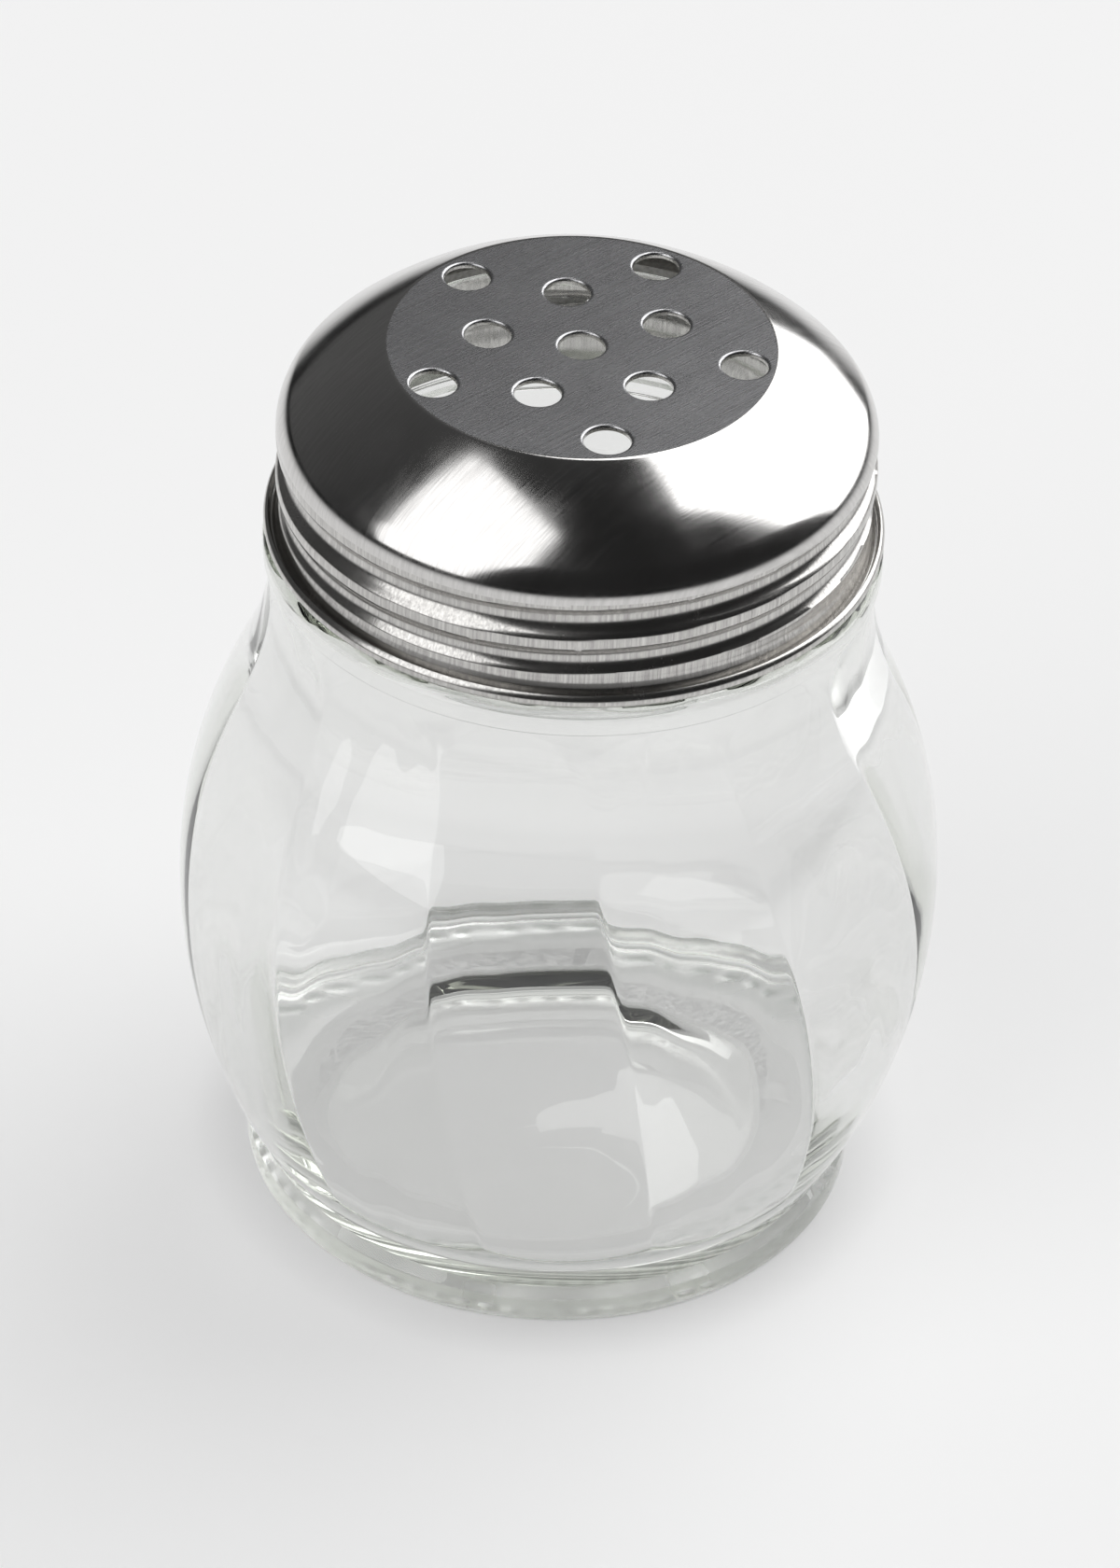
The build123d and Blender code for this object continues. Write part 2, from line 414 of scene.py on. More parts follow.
@dataclass(frozen=True)
class SteelFinish:
    """Stainless sheet with fine marks that run one way.

    The marks are long cells of noise: grain_cells gives how many fit in a metre along each axis, after the
    pattern is turned by grain_turn degrees about the upright axis. grain_span and scuff_span give the noise
    between which the marks and the scuffs grow from none to full.
    """

    name: str
    dark: Colour
    pale: Colour
    smooth: float
    rough: float
    grain_cells: tuple[float, float, float]
    grain_turn: float
    grain_depth: float
    scuff_cells: float = 180.0
    scuff_rough: float = 0.04
    grain_span: Point = (0.3, 0.7)
    scuff_span: Point = (0.4, 0.65)

    def make(self) -> bpy.types.Material:
        """Builds the finish.

        Returns:
            The material.
        """
        material = bpy.data.materials.new(self.name)
        board = NodeBoard(material)
        grain = board.noise(board.place(self.grain_cells, self.grain_turn), detail=3.0, rough=0.6)
        marks = board.spread(grain, (self.grain_span[0], 0.0), (self.grain_span[1], 1.0))
        scuffs = board.noise(board.place((self.scuff_cells,) * 3), detail=3.0)
        uneven = board.spread(scuffs, (self.scuff_span[0], 0.0), (self.scuff_span[1], self.scuff_rough))
        roughness = board.math("ADD", board.spread(marks, (0.0, self.rough), (1.0, self.smooth)), uneven)
        bump = board.add("ShaderNodeBump", {"Height": marks, "Strength": 1.0, "Distance": self.grain_depth * MM})
        steel = board.add(
            "ShaderNodeBsdfPrincipled",
            {
                "Base Color": board.tint(marks, self.dark, self.pale),
                "Metallic": 1.0,
                "Roughness": roughness,
                "Normal": bump.outputs["Normal"],
            },
        )
        board.add("ShaderNodeOutputMaterial", {"Surface": steel.outputs["BSDF"]})
        return material


@dataclass(frozen=True)
class FoamFinish:
    """Matt white foam with small cells."""

    name: str = "liner_foam"
    dark: Colour = (0.62, 0.61, 0.58, 1.0)
    pale: Colour = (0.82, 0.81, 0.78, 1.0)
    cells: float = 2500.0
    cell_depth: float = 0.04
    cell_strength: float = 0.5
    cell_span: Point = (0.35, 0.65)
    rough_span: Point = (0.3, 0.7)
    rough: Point = (0.95, 0.75)

    def make(self) -> bpy.types.Material:
        """Builds the finish.

        Returns:
            The material.
        """
        material = bpy.data.materials.new(self.name)
        board = NodeBoard(material)
        cells = board.noise(board.place((self.cells,) * 3), detail=2.0)
        shade = board.spread(cells, (self.cell_span[0], 0.0), (self.cell_span[1], 1.0))
        bump = board.add(
            "ShaderNodeBump",
            {"Height": shade, "Strength": self.cell_strength, "Distance": self.cell_depth * MM},
        )
        ends = list(zip(self.rough_span, self.rough))
        foam = board.add(
            "ShaderNodeBsdfPrincipled",
            {
                "Base Color": board.tint(shade, self.dark, self.pale),
                "Roughness": board.spread(cells, ends[0], ends[1]),
                "Normal": bump.outputs["Normal"],
            },
        )
        board.add("ShaderNodeOutputMaterial", {"Surface": foam.outputs["BSDF"]})
        return material


@dataclass
class ScrewThread:
    """Helix that both threads follow."""

    pitch: float = 4.233
    start_angle: float = -205.0
    fade: float = 25.0

    def offset(self, angle: np.ndarray, height: np.ndarray, low: float, turns: float) -> tuple[np.ndarray, np.ndarray]:
        """Nearest turn of a thread to each point.

        Args:
            angle: angle of each point in degrees.
            height: height of each point.
            low: height of the thread's lower end.
            turns: number of turns.

        Returns:
            Height above the nearest turn, and how full the thread is there, from 0 at its ends to 1.
        """
        share = np.mod(angle - self.start_angle, 360.0) / 360.0
        count = np.clip(np.round((height - low) / self.pitch - share), 0, math.floor(turns))
        count = np.where(share + count > turns, np.maximum(count - 1, 0), count)
        along = share + count
        ends = np.minimum(along, turns - along) * 360.0
        return height - low - self.pitch * along, ramp(ends, 0.0, self.fade)


@dataclass
class GlassJar:
    """Round-bellied jar with a foot, a neck ring and a threaded neck, and twisted panels on its hollow.

    body_rows gives where each set of vertex rows up the body starts, and the step between its rows. A fade gives
    where it starts and where it ends. A wave gives its size, its count round the jar, its lean for each millimetre
    of height and its start in radians, and wear gives the rate for each degree and the start.
    """

    thread: ScrewThread
    finish: GlassFinish = field(default_factory=GlassFinish)
    columns: int = 288
    smooth_angle: float = 38.0
    foot_radius: float = 28.7
    foot_height: float = 2.7
    foot_round: float = 0.5
    body_low: Point = (28.0, 3.8)
    body_foot_rows: Point = (0.12, 0.35)
    body_rows: tuple[Point, ...] = ((4.5, 0.55), (17.0, 1.05), (54.0, 0.5))
    bearing_inside: float = 20.1
    base_recess: float = 2.75
    belly_radius: float = 35.2
    belly_height: float = 31.4
    shoulder_radius: float = 27.3
    shoulder_height: float = 66.0
    shoulder_bulge: float = 0.61
    ring_base: float = 67.6
    ring_radius: float = 27.9
    ring_top: float = 69.9
    ring_round: float = 0.9
    ring_lower_round: float = 0.3
    neck_radius: float = 25.05
    bore_radius: float = 22.25
    rim_top: float = 83.11
    rim_round: float = 0.6
    bore_base: float = 69.11
    wall: float = 2.3
    least_wall: float = 1.0
    floor_height: float = 5.2
    floor_corner: float = 9.0
    panels: int = 12
    panel_twist: float = 0.31
    panel_angle: float = -105.5
    panel_angle_height: float = 27.3
    panel_inset: float = 0.1
    panel_depth: float = 0.45
    panel_high: float = 65.0
    panel_fade: float = 8.0
    arris_blend: float = 0.02
    gather: float = 0.9
    gather_low: Point = (4.0, 9.0)
    gather_high: Point = (66.0, 63.0)
    thread_low: float = 75.4165
    thread_turns: float = 1.23
    thread_crest: float = 26.0
    thread_crest_half: float = 0.55
    thread_root_half: float = 1.05
    neck_skin: float = 0.2
    dots: int = 72
    dot_circle: float = 26.5
    dot_half: Point = (0.9, 0.75)
    dot_height: float = 0.18
    dot_fade: Point = (1.0, 0.35)
    stipple_in: Point = (23.0, 23.8)
    stipple_out: Point = (28.1, 27.6)
    wear_mean: float = 0.55
    wear_swing: float = 0.45
    wear: tuple[Point, Point] = ((0.21, 1.3), (0.083, 0.0))
    # painted_shade_ring and dullness set where and how strongly the painted shade falls on the foot's bearing ring.
    painted_shade_ring: Point = (23.6, 25.0)
    painted_bearing_shade: float = 0.4
    wobble: float = 0.05
    wobble_waves: tuple[Wave, ...] = ((1.0, 2, 0.09, 0.0), (0.7, 5, -0.17, 1.0), (0.5, 0, 0.33, 2.0))
    streaks: float = 0.006
    streak_waves: tuple[Wave, ...] = ((1.0, 31, 0.05, 0.0), (1.0, 43, -0.03, 0.6), (1.0, 19, 0.02, 0.0))
    wave_neck: Point = (0.0, 8.0)
    wave_floor: Point = (4.0, 15.0)

    def ogee(self, inset: float, rise: float) -> tuple[float, float, float]:
        """Two tangent arcs that start and end upright.

        Args:
            inset: how far the curve comes in.
            rise: how far it goes up.

        Returns:
            The turn of each arc in degrees, and the radii of the first and second arc.
        """
        turn = 2 * math.atan2(inset, rise)
        both = rise / math.sin(turn)
        return math.degrees(turn), self.shoulder_bulge * both, (1 - self.shoulder_bulge) * both

    def low_bend(self) -> float:
        """Arc from the foot up to the belly.

        Returns:
            The arc's radius.
        """
        out = self.belly_radius - self.body_low[0]
        rise = self.belly_height - self.body_low[1]
        return (out**2 + rise**2) / (2 * out)

    def curve(self, height: np.ndarray, inset: float, top: Point) -> np.ndarray:
        """Radius of the round body or its hollow.

        Args:
            height: heights on the curve.
            inset: how far the curve lies inside the body's outside at the belly.
            top: radius and height at which the curve ends, upright.

        Returns:
            The radius at each height.
        """
        widest = self.belly_radius - inset
        turn, first, second = self.ogee(widest - top[0], top[1] - self.belly_height)
        change = self.belly_height + first * math.sin(math.radians(turn))
        bend = self.low_bend() - inset
        low = widest - bend + np.sqrt(np.maximum(bend**2 - (self.belly_height - height) ** 2, 0))
        middle = widest - first + np.sqrt(np.maximum(first**2 - (height - self.belly_height) ** 2, 0))
        left = np.maximum(top[1] - height, 0)
        high = top[0] + second - np.sqrt(np.maximum(second**2 - left**2, 0))
        return np.where(height < self.belly_height, low, np.where(height < change, middle, high))

    def body_radius(self, height: np.ndarray) -> np.ndarray:
        """Radius of the outside at heights between the foot and the shoulder."""
        return self.curve(height, 0.0, (self.shoulder_radius, self.shoulder_height))

    def panel_radius(self, height: np.ndarray, across: np.ndarray) -> np.ndarray:
        """Radius of the panels that stand in on the hollow.

        Args:
            height: heights on the hollow.
            across: place on a panel, from -1 at one edge to 1 at the other.

        Returns:
            The radius, which passes that of the round hollow where the panels die out.
        """
        into_fade = np.maximum(height - self.panel_high + self.panel_fade, 0) / self.panel_fade
        edge = self.curve(height, self.wall, (self.bore_radius, self.bore_base)) - self.panel_inset
        edge = edge + (self.panel_inset + self.panel_depth) * into_fade**2
        own = across**2 - 1.0
        other = (2.0 - np.abs(across)) ** 2 - 1.0
        return edge + soft_least(self.arris_blend, self.panel_depth * own, self.panel_depth * other)

    def outside(self) -> list[Point]:
        """Outline from the middle of the base, round the foot and up to the ring's ledge.

        Returns:
            The points in order.
        """
        sag = (self.bearing_inside**2 + self.base_recess**2) / (2 * self.base_recess)
        recess = [
            (r, self.base_recess - sag + math.sqrt(sag**2 - r**2))
            for r in np.linspace(0, self.bearing_inside, 14)
        ]
        slope = math.degrees(math.atan2(self.foot_radius - self.body_low[0], self.body_low[1] - self.foot_height))
        tangent = self.foot_round * math.tan(math.radians(slope / 2))
        inside_foot = self.foot_radius - self.foot_round
        top_round = (inside_foot, self.foot_height - tangent)
        points = recess + run((self.bearing_inside, 0), (inside_foot, 0), 16)
        points += arc((inside_foot, self.foot_round), self.foot_round, -90, 0, 5)
        points += run((self.foot_radius, self.foot_round), (self.foot_radius, top_round[1]), 4)
        points += arc(top_round, self.foot_round, 0, slope, 4)
        points += run(points[-1], self.body_low, 3)
        ends = [start for start, _ in self.body_rows[1:]] + [self.shoulder_height + NEAR]
        rows = [np.arange(start, end, step) for (start, step), end in zip(self.body_rows, ends)]
        heights = np.concatenate([self.body_low[1] + np.array(self.body_foot_rows)] + rows)
        points += list(zip(self.body_radius(heights).tolist(), heights.tolist()))
        ring_inside = self.ring_radius - self.ring_lower_round
        points += run((self.shoulder_radius, self.shoulder_height), (self.shoulder_radius, self.ring_base), 4)
        points += run((self.shoulder_radius, self.ring_base), (ring_inside, self.ring_base), 2)
        points += arc((ring_inside, self.ring_base + self.ring_lower_round), self.ring_lower_round, -90, 0, 4)
        low = (self.ring_radius, self.ring_base + self.ring_lower_round)
        points += run(low, (self.ring_radius, self.ring_top - self.ring_round), 3)
        top_round = (self.ring_radius - self.ring_round, self.ring_top - self.ring_round)
        points += arc(top_round, self.ring_round, 0, 90, 6)
        return points

    def inside(self) -> list[Point]:
        """Outline from the ring's ledge up the neck, over the rim and down to the middle of the floor.

        Returns:
            The points in order.
        """
        points = run((self.ring_radius - self.ring_round, self.ring_top), (self.neck_radius, self.ring_top), 3)
        low_rim = self.rim_top - self.rim_round
        points += run((self.neck_radius, self.ring_top), (self.neck_radius, low_rim), 38)
        points += arc((self.neck_radius - self.rim_round, low_rim), self.rim_round, 0, 90, 4)
        inner_round = (self.bore_radius + self.rim_round, low_rim)
        points += run(points[-1], (inner_round[0], self.rim_top), 3)
        points += arc(inner_round, self.rim_round, 90, 180, 4)
        points += run((self.bore_radius, low_rim), (self.bore_radius, self.bore_base), 7)
        inner_belly = self.belly_radius - self.wall
        turn, first, second = self.ogee(inner_belly - self.bore_radius, self.bore_base - self.belly_height)
        points += arc((self.bore_radius + second, self.bore_base), second, 180, 180 + turn, 22)
        points += arc((inner_belly - first, self.belly_height), first, turn, 0, 30)
        bend = self.low_bend() - self.wall
        axis = inner_belly - bend
        corner_height = self.floor_height + self.floor_corner
        drop = self.belly_height - corner_height
        corner = axis + math.sqrt((bend - self.floor_corner) ** 2 - drop**2)
        low_angle = math.degrees(math.atan2(-drop, corner - axis))
        points += arc((axis, self.belly_height), bend, 0, low_angle, 24)
        points += arc((corner, corner_height), self.floor_corner, low_angle, -90, 24)
        points += run((corner, self.floor_height), (0, self.floor_height), 10)
        return points

    def dot_share(self, angle: np.ndarray, radius: np.ndarray) -> np.ndarray:
        """How far each point of the foot's underside lies on a dot.

        Args:
            angle: angle of each point in degrees.
            radius: its radius.

        Returns:
            1 in the middle of a dot, and 0 away from the dots.
        """
        to_dot = np.abs(np.mod(angle * self.dots / 360.0 + 0.5, 1.0) - 0.5) * math.tau * self.dot_circle / self.dots
        reach = np.hypot(to_dot / self.dot_half[1], (radius - self.dot_circle) / self.dot_half[0])
        return ramp(reach, *self.dot_fade)

    def mark_stipple_and_shade(self, jar: bpy.types.Object) -> None:
        """Marks the foot's underside and its dots for the finish's darker tint, which is painted shade on the bearing
        ring, and on the dots partly their stippled look and partly painted shade.

        Args:
            jar: the shaped jar.
        """
        x, y, z = read_points(jar).T
        radius = np.hypot(x, y)
        under = (z < self.dot_height + 2 * NEAR) & (radius > self.bearing_inside)
        dots = self.dot_share(np.degrees(np.arctan2(y, x)), radius)
        # Painted shade: the outer bearing ring gets the tint at the dullness share, and the dots get it in full,
        # partly as their own stippled look.
        share = under * ramp(radius, *self.painted_shade_ring) * (self.painted_bearing_shade + (1.0 - self.painted_bearing_shade) * dots)
        marks = jar.data.attributes.new(self.finish.stipple_and_shade, "FLOAT", "POINT")
        marks.data.foreach_set("value", share.astype(np.float32))

    def shape(self, points: np.ndarray) -> np.ndarray:
        """Gives the turned jar its panels, thread, stippled foot and the wave of pressed glass.

        Args:
            points: places of the turned vertices.

        Returns:
            The new places.
        """
        x, y, z = points.T
        radius = np.hypot(x, y)
        column = np.degrees(np.arctan2(y, x))
        span = 360.0 / self.panels
        height = np.clip(z, self.body_low[1], self.bore_base)
        skin = self.body_radius(np.minimum(height, self.shoulder_height))
        hollow = (z > self.floor_height - NEAR) & (z < self.bore_base) & (radius < skin - self.least_wall)

        whole = np.floor(column / span + WELD)
        across = 2.0 * (column / span - whole) - 1.0
        gathered = np.sin(across * math.pi / 2)
        share = self.gather * ramp(height, *self.gather_low) * ramp(height, *self.gather_high)
        across = across + (gathered - across) * share
        start = self.panel_angle - self.panel_twist * (np.minimum(height, self.panel_high) - self.panel_angle_height)
        angle = start + (whole + (across + 1.0) / 2.0) * span
        inner = soft_least(self.arris_blend, radius, self.panel_radius(height, across))
        radius = np.where(hollow, np.minimum(inner, radius), radius)

        neck = (z > self.ring_top + NEAR) & (z < self.rim_top - self.rim_round)
        neck &= radius > self.neck_radius - self.neck_skin
        above, full = self.thread.offset(angle, z, self.thread_low, self.thread_turns)
        crest = ramp(np.abs(above), self.thread_root_half, self.thread_crest_half)
        radius = np.where(neck, radius + (self.thread_crest - self.neck_radius) * crest * full, radius)

        bearing = (z < NEAR) & (radius > self.bearing_inside)
        edges = ramp(radius, *self.stipple_in) * ramp(radius, *self.stipple_out)
        slow, slower = (np.sin(angle * rate + start) for rate, start in self.wear)
        worn = self.wear_mean + self.wear_swing * slow * slower
        z = z + np.where(bearing, self.dot_height * worn * edges * (1.0 - self.dot_share(angle, radius)), 0.0)

        turn = np.radians(angle)
        uneven = self.wobble * add_waves(turn, z, self.wobble_waves)
        uneven = uneven + self.streaks * add_waves(turn, z, self.streak_waves)
        away = hollow * ramp(self.bore_base - z, *self.wave_neck) * ramp(radius, *self.wave_floor)
        radius = radius + uneven * away
        return np.stack([radius * np.cos(turn), radius * np.sin(turn), z], axis=1)

    def build(self) -> bpy.types.Object:
        """Models the jar, dresses it and sets it on its body.

        Returns:
            The jar.
        """
        jar = turn_outline("jar_glass", self.outside() + self.inside(), self.columns)
        move_points(jar, self.shape)
        self.mark_stipple_and_shade(jar)
        activate(jar)
        bpy.ops.object.shade_smooth_by_angle(angle=math.radians(self.smooth_angle))
        jar.data.materials.append(self.finish.make())
        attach(jar, Body.JAR.value)
        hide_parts("glass_jar")
        return jar


@dataclass
class PerforatedLid:
    """Lid of one pressed sheet: a perforated top, a dome, a skirt with a rolled thread and a curled edge.

    A circle of holes gives its radius, the number of holes and the angle of the first in degrees. thread_reach is
    how far above the skirt the thread may run into the dome, and the two margins say how far a finish keeps from
    the edge of the top and from the skirt.
    """

    thread: ScrewThread
    columns: int = 360
    smooth_angle: float = 45.0
    flat_weight: int = 80
    sheet: float = 0.5
    skirt_radius: float = 26.85
    skirt_top: float = 80.6
    lid_top: float = 89.7
    dome_corner: float = 4.6
    dome_corner_turn: float = 46.0
    disc_radius: float = 17.4
    disc_edge_round: float = 0.8
    curl_centre: float = 71.15
    curl_bend: float = 0.25
    curl_turn: float = 240.4
    hole_radius: float = 2.1
    hole_sides: int = 56
    hole_round: float = 0.22
    hole_land: float = 0.08
    disc_land: float = 0.08
    hole_circles: tuple[tuple[float, int, float], ...] = ((0.0, 1, 0.0), (8.4, 5, 28.2), (14.5, 5, -7.8))
    thread_low: float = 73.3
    thread_turns: float = 1.642
    groove_bend: float = 1.422
    groove_centre: float = 27.322
    groove_blend: float = 0.4
    thread_reach: float = 3.0
    skin_reach: float = 1.0
    flare_turn: float = 16.5
    flare_rise: float = 1.4
    flare_fade: Point = (4.5, 2.0)
    top_margin: float = 0.2
    dome_margin: float = 0.3
    dome_finish: SteelFinish = SteelFinish(
        "polished_dome", (0.58, 0.57, 0.56, 1.0), (0.68, 0.67, 0.66, 1.0), 0.10, 0.155,
        (300.0, 5000.0, 300.0), 40.0, 0.0006,
    )
    top_finish: SteelFinish = SteelFinish(
        "brushed_top", (0.28, 0.28, 0.29, 1.0), (0.62, 0.62, 0.63, 1.0), 0.20, 0.32,
        (45.0, 7000.0, 45.0), 44.0, 0.003, scuff_rough=0.012,
    )
    skirt_finish: SteelFinish = SteelFinish(
        "satin_skirt", (0.42, 0.41, 0.40, 1.0), (0.66, 0.65, 0.63, 1.0), 0.16, 0.25,
        (4500.0, 4500.0, 160.0), 0.0, 0.0012,
    )

    def crown(self) -> tuple[Point, float]:
        """Arc between the dome's corner and the flat top.

        Returns:
            The arc's centre and radius.
        """
        slope = math.radians(90 - self.dome_corner_turn)
        centre = self.skirt_radius - self.dome_corner
        low = (centre + self.dome_corner * math.sin(slope), self.skirt_top + self.dome_corner * math.cos(slope))
        rise = math.atan2(self.lid_top - low[1], low[0] - self.disc_radius)
        chord = math.hypot(self.lid_top - low[1], low[0] - self.disc_radius)
        radius = chord / (2 * math.sin(slope - rise))
        return (low[0] - radius * math.sin(slope), low[1] - radius * math.cos(slope)), radius

    def disc_edge(self, depth: float) -> tuple[list[Point], float]:
        """Rounded edge between the flat top and the crown, on one side of the sheet.

        Args:
            depth: distance below the outer surface.

        Returns:
            Points from the flat to the crown, with both ends, and the angle in degrees where the crown starts.
        """
        centre, radius = self.crown()
        bend = self.disc_edge_round - depth
        height = self.lid_top - self.disc_edge_round
        gap = radius - self.disc_edge_round
        across = centre[0] + math.sqrt(gap**2 - (height - centre[1]) ** 2)
        angle = math.degrees(math.atan2(height - centre[1], across - centre[0]))
        return [(across, height + bend)] + arc((across, height), bend, 90, angle, 6), angle

    def outline(self) -> list[Point]:
        """Outline of the sheet from the top's edge, down the outside, round the curl and up the inside.

        Returns:
            The points in order.
        """
        centre, radius = self.crown()
        corner = self.skirt_radius - self.dome_corner
        slope = self.dome_corner_turn
        curl = (self.skirt_radius + self.curl_bend, self.curl_centre)
        inner = self.skirt_radius - self.sheet
        curl_end = 180 + self.curl_turn
        rounded, angle = self.disc_edge(0.0)
        points = [(rounded[0][0] - self.disc_land, self.lid_top)] + rounded
        points += arc(centre, radius, angle, slope, 22)
        points += arc((corner, self.skirt_top), self.dome_corner, slope, 0, 18)
        points += run((self.skirt_radius, self.skirt_top), (self.skirt_radius, self.curl_centre), 40)
        points += arc(curl, self.curl_bend, 180, curl_end, 10)
        edge = math.radians(curl_end)
        outer_bend = self.curl_bend + self.sheet
        tip = (curl[0] + outer_bend * math.cos(edge), curl[1] + outer_bend * math.sin(edge))
        points += run(points[-1], tip, 2)
        points += arc(curl, outer_bend, curl_end, 180, 22)
        points += run((inner, self.curl_centre), (inner, self.skirt_top), 36)
        points += arc((corner, self.skirt_top), self.dome_corner - self.sheet, 0, slope, 10)
        points += arc(centre, radius - self.sheet, slope, angle, 12)
        under, _ = self.disc_edge(self.sheet)
        points += under[-2::-1]
        points.append((under[0][0] - self.disc_land, self.lid_top - self.sheet))
        return points

    def roll_thread(self, points: np.ndarray) -> np.ndarray:
        """Presses the thread into the turned skirt and flares its foot towards the curl.

        Args:
            points: places of the turned vertices.

        Returns:
            The new places.
        """
        x, y, z = points.T
        radius = np.hypot(x, y)
        angle = np.degrees(np.arctan2(y, x))
        corner = self.skirt_radius - self.dome_corner
        rise = np.clip(z - self.skirt_top, 0.0, self.dome_corner)
        wall = corner + np.sqrt(self.dome_corner**2 - rise**2)
        skirt = (z > self.curl_centre + 2 * NEAR) & (z < self.skirt_top + self.thread_reach)
        skirt &= (radius > wall - self.skin_reach) & (radius < self.skirt_radius + NEAR)
        outer = radius > wall - self.sheet / 2
        above, full = self.thread.offset(angle, z, self.thread_low, self.thread_turns)
        bend = np.where(outer, self.groove_bend, self.groove_bend + self.sheet)
        pressed = self.groove_centre - np.sqrt(np.maximum(bend**2 - above**2, 0.0))
        pressed = np.where(np.abs(above) < bend, pressed, self.groove_centre + np.abs(above) - bend)
        pressed = np.minimum(soft_least(self.groove_blend, radius, pressed), radius)
        pressed = radius + (pressed - radius) * full
        up = z - self.curl_centre
        flare = np.tan(math.radians(self.flare_turn)) * np.clip(up, 0.0, self.flare_rise) * ramp(up, *self.flare_fade)
        radius = np.where(skirt, np.minimum(pressed, radius - flare), radius)
        turn = np.radians(angle)
        return np.stack([radius * np.cos(turn), radius * np.sin(turn), z], axis=1)

    def hole_places(self) -> list[Point]:
        """Places of the holes.

        Returns:
            Their centres.
        """
        places = []
        for circle, count, first in self.hole_circles:
            for index in range(count):
                angle = math.radians(first + 360.0 * index / count)
                places.append((circle * math.cos(angle), circle * math.sin(angle)))
        return places

    def punch_holes(self) -> list[bpy.types.Object]:
        """Makes one hole's wall with its rounded edge, and copies it to every hole.

        Returns:
            The walls, each with its own mesh.
        """
        low = self.lid_top - self.hole_round
        round_centre = (self.hole_radius + self.hole_round, low)
        outline = [(round_centre[0] + self.hole_land, self.lid_top), (round_centre[0], self.lid_top)]
        outline += arc(round_centre, self.hole_round, 90, 180, 6)
        outline += run(outline[-1], (self.hole_radius, self.lid_top - self.sheet), 2)
        outline.append((self.hole_radius + self.hole_land, self.lid_top - self.sheet))
        first = turn_outline("hole", outline, self.hole_sides)
        walls = []
        for place in self.hole_places():
            wall = first.copy()
            wall.data = first.data.copy()
            wall.data.transform(Matrix.Translation((place[0] * MM, place[1] * MM, 0)))
            bpy.context.scene.collection.objects.link(wall)
            walls.append(wall)
        bpy.data.objects.remove(first)
        return walls

    def close_top(self, lid: bpy.types.Object) -> None:
        """Fills the flat top and its underside between the disc's edge and the holes.

        Args:
            lid: the turned lid joined with the walls of the holes, active.
        """
        for level in (self.lid_top, self.lid_top - self.sheet):
            set_mode("EDIT")
            bpy.ops.mesh.select_mode(type="EDGE")
            bpy.ops.mesh.select_all(action="DESELECT")
            bpy.ops.mesh.select_non_manifold(extend=False, use_wire=False, use_multi_face=False, use_verts=False)
            set_mode("OBJECT")
            for edge in lid.data.edges:
                heights = [lid.data.vertices[index].co.z / MM for index in edge.vertices]
                edge.select = edge.select and all(abs(height - level) < NEAR for height in heights)
            for polygon in lid.data.polygons:
                polygon.select = False
            for vertex in lid.data.vertices:
                vertex.select = False
            set_mode("EDIT")
            bpy.ops.mesh.fill(use_beauty=True)
        set_mode("OBJECT")

    def zone(self, centre: Vector, normal: Vector) -> Zone:
        """Finish of a face.

        Args:
            centre: middle of the face in metres.
            normal: its outward direction.

        Returns:
            The zone that the face belongs to.
        """
        radius = centre.to_2d().length / MM
        height = centre.z / MM
        if radius < self.disc_radius - self.top_margin and height > self.lid_top - self.sheet / 2:
            return Zone.TOP
        if height > self.skirt_top + self.dome_margin and normal.z > 0:
            return Zone.DOME
        return Zone.SKIRT

    def build(self) -> bpy.types.Object:
        """Models the lid, dresses it and sets it on its body.

        Returns:
            The lid.
        """
        walls = self.punch_holes()
        lid = turn_outline("lid_steel", self.outline(), self.columns)
        move_points(lid, self.roll_thread)
        activate(lid)
        for wall in walls:
            wall.select_set(True)
        bpy.ops.object.join()
        self.close_top(lid)
        set_mode("EDIT")
        weld_and_face_out()
        set_mode("OBJECT")
        for finish in (self.dome_finish, self.top_finish, self.skirt_finish):
            lid.data.materials.append(finish.make())
        for polygon in lid.data.polygons:
            polygon.material_index = self.zone(polygon.center, polygon.normal).value
        activate(lid)
        bpy.ops.object.shade_smooth_by_angle(angle=math.radians(self.smooth_angle))
        even = lid.modifiers.new("even_normals", "WEIGHTED_NORMAL")
        even.keep_sharp = True
        even.weight = self.flat_weight
        bpy.ops.object.modifier_apply(modifier=even.name)
        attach(lid, Body.LID.value)
        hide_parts("perforated_lid")
        return lid


@dataclass
class RimLiner:
    """Thin ring between the glass rim and the dome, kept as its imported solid."""

    finish: FoamFinish = field(default_factory=FoamFinish)

    def dress(self) -> bpy.types.Object:
        """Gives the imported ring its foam.

        Returns:
            The ring.
        """
        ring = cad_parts["rim_liner"]
        ring.data.materials.clear()
        ring.data.materials.append(self.finish.make())
        return ring


